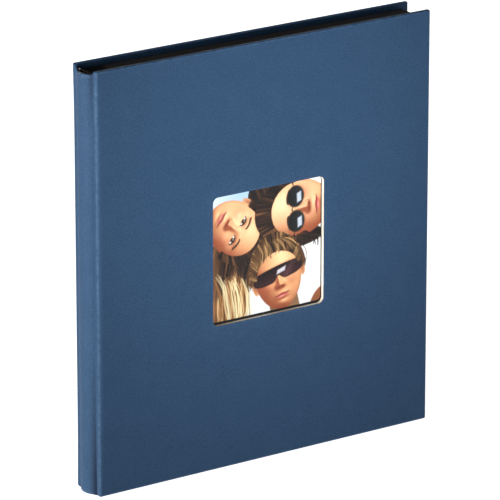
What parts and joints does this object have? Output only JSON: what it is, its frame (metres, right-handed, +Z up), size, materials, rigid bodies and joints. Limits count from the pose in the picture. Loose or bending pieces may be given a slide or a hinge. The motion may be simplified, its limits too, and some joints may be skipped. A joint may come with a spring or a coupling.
{
  "type": "photo scrapbook album",
  "caption": "Case-bound album in matt blue with a square window in the front cover, rounded spine and black pocket leaves that fan open on their hinges.",
  "frame": {"origin": "middle of the footprint, on the surface the album stands on", "axes": "+Z up from tail to head, +X from spine to fore-edge, front cover faces -Y"},
  "size_m": [0.302, 0.032, 0.326],
  "materials": {
    "greyboard": "raw cut board, pale cream",
    "blue_covering": "matt, fine linen grain",
    "black_endpaper": "matt",
    "black_card": "matt",
    "photo_print": "semi-gloss photographic print",
    "mull_cloth": "open weave",
    "band_cloth": "woven",
    "pocket_leaf": "black card in clear film pockets"
  },
  "bodies": {
    "binding": {"block_mull": "mull_cloth", "guard_01": "black_card", "guard_02": "black_card", "guard_03": "black_card", "guard_04": "black_card", "guard_05": "black_card", "guard_06": "black_card", "guard_07": "black_card", "guard_08": "black_card", "guard_09": "black_card", "guard_10": "black_card", "guard_11": "black_card", "guard_12": "black_card", "guard_13": "black_card", "guard_14": "black_card", "guard_15": "black_card", "guard_16": "black_card", "guard_17": "black_card", "guard_18": "black_card", "guard_19": "black_card", "guard_20": "black_card", "head_band": "band_cloth", "spine_board": "greyboard", "spine_covering": "blue_covering", "spine_lining": "black_endpaper", "tail_band": "band_cloth"},
    "front_cover": {"front_board": "greyboard", "front_covering": "blue_covering", "front_pastedown": "black_endpaper", "window_spacer": "black_card", "window_backing": "black_card"},
    "window_print": {"window_print": "photo_print"},
    "front_flyleaf": {"front_flyleaf": "black_endpaper"},
    "leaf_01": {"leaf_01": "pocket_leaf"},
    "leaf_02": {"leaf_02": "pocket_leaf"},
    "leaf_03": {"leaf_03": "pocket_leaf"},
    "leaf_04": {"leaf_04": "pocket_leaf"},
    "leaf_05": {"leaf_05": "pocket_leaf"},
    "leaf_06": {"leaf_06": "pocket_leaf"},
    "leaf_07": {"leaf_07": "pocket_leaf"},
    "leaf_08": {"leaf_08": "pocket_leaf"},
    "leaf_09": {"leaf_09": "pocket_leaf"},
    "leaf_10": {"leaf_10": "pocket_leaf"},
    "leaf_11": {"leaf_11": "pocket_leaf"},
    "leaf_12": {"leaf_12": "pocket_leaf"},
    "leaf_13": {"leaf_13": "pocket_leaf"},
    "leaf_14": {"leaf_14": "pocket_leaf"},
    "leaf_15": {"leaf_15": "pocket_leaf"},
    "leaf_16": {"leaf_16": "pocket_leaf"},
    "leaf_17": {"leaf_17": "pocket_leaf"},
    "leaf_18": {"leaf_18": "pocket_leaf"},
    "leaf_19": {"leaf_19": "pocket_leaf"},
    "leaf_20": {"leaf_20": "pocket_leaf"},
    "back_flyleaf": {"back_flyleaf": "black_endpaper"},
    "back_cover": {"back_board": "greyboard", "back_covering": "blue_covering", "back_pastedown": "black_endpaper"}
  },
  "joints": [
    {"name": "front_cover_hinge", "type": "hinge", "parent": "binding", "child": "front_cover", "pos_m": [-0.1468, -0.0131, 0.163], "axis": [0, 0, -1], "range_deg": [0, 180]},
    {"name": "window_print_slide", "type": "slide", "parent": "front_cover", "child": "window_print", "axis": [0, 0, 1], "range_m": [0, 0.112]},
    {"name": "front_flyleaf_turn", "type": "hinge", "parent": "binding", "child": "front_flyleaf", "pos_m": [-0.1417, -0.01148, 0.163], "axis": [0, 0, -1], "range_deg": [0, 135]},
    {"name": "leaf_01_turn", "type": "hinge", "parent": "binding", "child": "leaf_01", "pos_m": [-0.1417, -0.01043, 0.163], "axis": [0, 0, -1], "range_deg": [0, 135]},
    {"name": "leaf_02_turn", "type": "hinge", "parent": "binding", "child": "leaf_02", "pos_m": [-0.1417, -0.00929, 0.163], "axis": [0, 0, -1], "range_deg": [0, 135]},
    {"name": "leaf_03_turn", "type": "hinge", "parent": "binding", "child": "leaf_03", "pos_m": [-0.1417, -0.00815, 0.163], "axis": [0, 0, -1], "range_deg": [0, 135]},
    {"name": "leaf_04_turn", "type": "hinge", "parent": "binding", "child": "leaf_04", "pos_m": [-0.1417, -0.00701, 0.163], "axis": [0, 0, -1], "range_deg": [0, 135]},
    {"name": "leaf_05_turn", "type": "hinge", "parent": "binding", "child": "leaf_05", "pos_m": [-0.1417, -0.00587, 0.163], "axis": [0, 0, -1], "range_deg": [0, 135]},
    {"name": "leaf_06_turn", "type": "hinge", "parent": "binding", "child": "leaf_06", "pos_m": [-0.1417, -0.00473, 0.163], "axis": [0, 0, -1], "range_deg": [0, 135]},
    {"name": "leaf_07_turn", "type": "hinge", "parent": "binding", "child": "leaf_07", "pos_m": [-0.1417, -0.00359, 0.163], "axis": [0, 0, -1], "range_deg": [0, 135]},
    {"name": "leaf_08_turn", "type": "hinge", "parent": "binding", "child": "leaf_08", "pos_m": [-0.1417, -0.00245, 0.163], "axis": [0, 0, -1], "range_deg": [0, 135]},
    {"name": "leaf_09_turn", "type": "hinge", "parent": "binding", "child": "leaf_09", "pos_m": [-0.1417, -0.00131, 0.163], "axis": [0, 0, -1], "range_deg": [0, 135]},
    {"name": "leaf_10_turn", "type": "hinge", "parent": "binding", "child": "leaf_10", "pos_m": [-0.1417, -0.00017, 0.163], "axis": [0, 0, -1], "range_deg": [0, 135]},
    {"name": "leaf_11_turn", "type": "hinge", "parent": "binding", "child": "leaf_11", "pos_m": [-0.1417, 0.00097, 0.163], "axis": [0, 0, -1], "range_deg": [0, 135]},
    {"name": "leaf_12_turn", "type": "hinge", "parent": "binding", "child": "leaf_12", "pos_m": [-0.1417, 0.00211, 0.163], "axis": [0, 0, -1], "range_deg": [0, 135]},
    {"name": "leaf_13_turn", "type": "hinge", "parent": "binding", "child": "leaf_13", "pos_m": [-0.1417, 0.00325, 0.163], "axis": [0, 0, -1], "range_deg": [0, 135]},
    {"name": "leaf_14_turn", "type": "hinge", "parent": "binding", "child": "leaf_14", "pos_m": [-0.1417, 0.00439, 0.163], "axis": [0, 0, -1], "range_deg": [0, 135]},
    {"name": "leaf_15_turn", "type": "hinge", "parent": "binding", "child": "leaf_15", "pos_m": [-0.1417, 0.00553, 0.163], "axis": [0, 0, -1], "range_deg": [0, 135]},
    {"name": "leaf_16_turn", "type": "hinge", "parent": "binding", "child": "leaf_16", "pos_m": [-0.1417, 0.00667, 0.163], "axis": [0, 0, -1], "range_deg": [0, 135]},
    {"name": "leaf_17_turn", "type": "hinge", "parent": "binding", "child": "leaf_17", "pos_m": [-0.1417, 0.00781, 0.163], "axis": [0, 0, -1], "range_deg": [0, 135]},
    {"name": "leaf_18_turn", "type": "hinge", "parent": "binding", "child": "leaf_18", "pos_m": [-0.1417, 0.00895, 0.163], "axis": [0, 0, -1], "range_deg": [0, 135]},
    {"name": "leaf_19_turn", "type": "hinge", "parent": "binding", "child": "leaf_19", "pos_m": [-0.1417, 0.01009, 0.163], "axis": [0, 0, -1], "range_deg": [0, 135]},
    {"name": "leaf_20_turn", "type": "hinge", "parent": "binding", "child": "leaf_20", "pos_m": [-0.1417, 0.01123, 0.163], "axis": [0, 0, -1], "range_deg": [0, 135]},
    {"name": "back_cover_hinge", "type": "hinge", "parent": "binding", "child": "back_cover", "pos_m": [-0.1468, 0.0131, 0.163], "axis": [0, 0, 1], "range_deg": [0, 180]},
    {"name": "back_flyleaf_turn", "type": "hinge", "parent": "binding", "child": "back_flyleaf", "pos_m": [-0.1417, 0.01227, 0.163], "axis": [0, 0, 1], "range_deg": [0, 135]}
  ],
  "couplings": [
    {"joint": "front_flyleaf_turn", "follows": "front_cover_hinge", "ratio": 0.74},
    {"joint": "leaf_01_turn", "follows": "front_cover_hinge", "ratio": 0.7},
    {"joint": "leaf_02_turn", "follows": "front_cover_hinge", "ratio": 0.666},
    {"joint": "leaf_03_turn", "follows": "front_cover_hinge", "ratio": 0.632},
    {"joint": "leaf_04_turn", "follows": "front_cover_hinge", "ratio": 0.598},
    {"joint": "leaf_05_turn", "follows": "front_cover_hinge", "ratio": 0.564},
    {"joint": "leaf_06_turn", "follows": "front_cover_hinge", "ratio": 0.53},
    {"joint": "leaf_07_turn", "follows": "front_cover_hinge", "ratio": 0.496},
    {"joint": "leaf_08_turn", "follows": "front_cover_hinge", "ratio": 0.462},
    {"joint": "leaf_09_turn", "follows": "front_cover_hinge", "ratio": 0.428},
    {"joint": "leaf_10_turn", "follows": "front_cover_hinge", "ratio": 0.394},
    {"joint": "leaf_11_turn", "follows": "front_cover_hinge", "ratio": 0.36},
    {"joint": "leaf_12_turn", "follows": "front_cover_hinge", "ratio": 0.326},
    {"joint": "leaf_13_turn", "follows": "front_cover_hinge", "ratio": 0.292},
    {"joint": "leaf_14_turn", "follows": "front_cover_hinge", "ratio": 0.258},
    {"joint": "leaf_15_turn", "follows": "front_cover_hinge", "ratio": 0.224},
    {"joint": "leaf_16_turn", "follows": "front_cover_hinge", "ratio": 0.19},
    {"joint": "leaf_17_turn", "follows": "front_cover_hinge", "ratio": 0.156},
    {"joint": "leaf_18_turn", "follows": "front_cover_hinge", "ratio": 0.122},
    {"joint": "leaf_19_turn", "follows": "front_cover_hinge", "ratio": 0.088},
    {"joint": "leaf_20_turn", "follows": "front_cover_hinge", "ratio": 0.054},
    {"joint": "back_flyleaf_turn", "follows": "back_cover_hinge", "ratio": 0.72}
  ]
}
